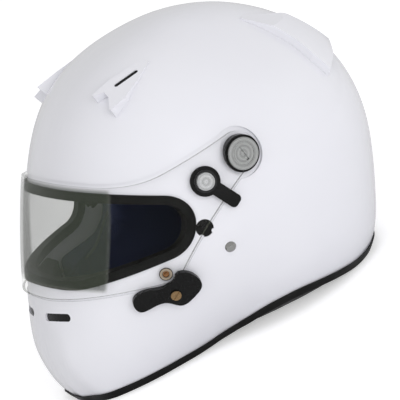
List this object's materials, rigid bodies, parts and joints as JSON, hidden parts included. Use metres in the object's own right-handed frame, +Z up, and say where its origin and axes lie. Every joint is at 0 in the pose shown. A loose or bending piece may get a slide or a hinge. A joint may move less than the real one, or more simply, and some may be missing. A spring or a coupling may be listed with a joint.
{
  "type": "full-face auto racing helmet",
  "caption": "Full-face auto racing helmet with a clear lifting visor on side pivots, padded lining, forehead ducts and a side latch lever.",
  "frame": {"origin": "on the table under the middle of the helmet's bounding box", "axes": "+X towards the wearer's left, -Y towards the face, +Z up, helmet standing on its lower rim"},
  "size_m": [0.2662, 0.3162, 0.2365],
  "materials": {
    "white_gloss": "gloss",
    "clear_visor": "gloss",
    "black_trim": "satin",
    "black_rubber": "matte",
    "grey_foam": "matte",
    "navy_mesh": "matte",
    "black_fabric": "matte",
    "black_webbing": "matte",
    "black_plastic": "satin",
    "turned_aluminium": "brushed",
    "steel": "satin",
    "brass": "satin"
  },
  "bodies": {
    "root": {"cheek_pad_left": "navy_mesh", "cheek_pad_right": "navy_mesh", "chin_eps": "grey_foam", "chin_strap_left": "black_webbing", "chin_strap_right": "black_webbing", "chin_vent_left": "black_plastic", "chin_vent_right": "black_plastic", "comfort_liner": "navy_mesh", "duct_slider_left": "black_plastic", "duct_slider_right": "black_plastic", "eps_liner": "grey_foam", "exhaust_insert_left": "black_plastic", "exhaust_insert_right": "black_plastic", "eyeport_gasket": "black_rubber", "forehead_duct_left": "white_gloss", "forehead_duct_right": "white_gloss", "latch_screw": "brass", "latch_spacer": "black_plastic", "neck_roll": "black_fabric", "outer_shell": "white_gloss", "pivot_base_left": "black_plastic", "pivot_base_right": "black_plastic", "pivot_nut_left": "steel", "pivot_nut_right": "steel", "pivot_screw_left": "turned_aluminium", "pivot_screw_right": "turned_aluminium", "rear_diffuser_left": "white_gloss", "rear_diffuser_right": "white_gloss", "rim_trim": "black_trim", "strap_rivet_left": "steel", "strap_rivet_right": "steel", "temple_plug_left": "black_plastic", "temple_plug_right": "black_plastic"},
    "visor_body": {"latch_bush": "brass", "post_plate_left": "black_plastic", "post_plate_right": "black_plastic", "tearoff_post_left": "turned_aluminium", "tearoff_post_right": "turned_aluminium", "visor": "clear_visor"},
    "latch_body": {"latch_lever": "black_plastic"},
    "d_ring_inner_body": {"d_ring_inner": "steel"},
    "d_ring_outer_body": {"d_ring_outer": "steel"}
  },
  "joints": [
    {"name": "visor_lift", "type": "hinge", "parent": "root", "child": "visor_body", "pos_m": [0, 0.01231, 0.14001], "axis": [1, 0, 0], "range_deg": [-50, 0]},
    {"name": "latch_turn", "type": "hinge", "parent": "root", "child": "latch_body", "pos_m": [0.09988, -0.07254, 0.06709], "axis": [0.8992, -0.3708, -0.2325], "range_deg": [0, 30]},
    {"name": "d_ring_inner_swing", "type": "hinge", "parent": "root", "child": "d_ring_inner_body", "pos_m": [0.0569, -0.02404, 0.0166], "axis": [0, 1, 0], "range_deg": [0, 30]},
    {"name": "d_ring_outer_swing", "type": "hinge", "parent": "root", "child": "d_ring_outer_body", "pos_m": [0.0601, -0.02404, 0.0166], "axis": [0, 1, 0], "range_deg": [0, 30]}
  ],
  "couplings": [
    {"joint": "d_ring_inner_swing", "follows": "d_ring_outer_swing", "ratio": 1}
  ]
}
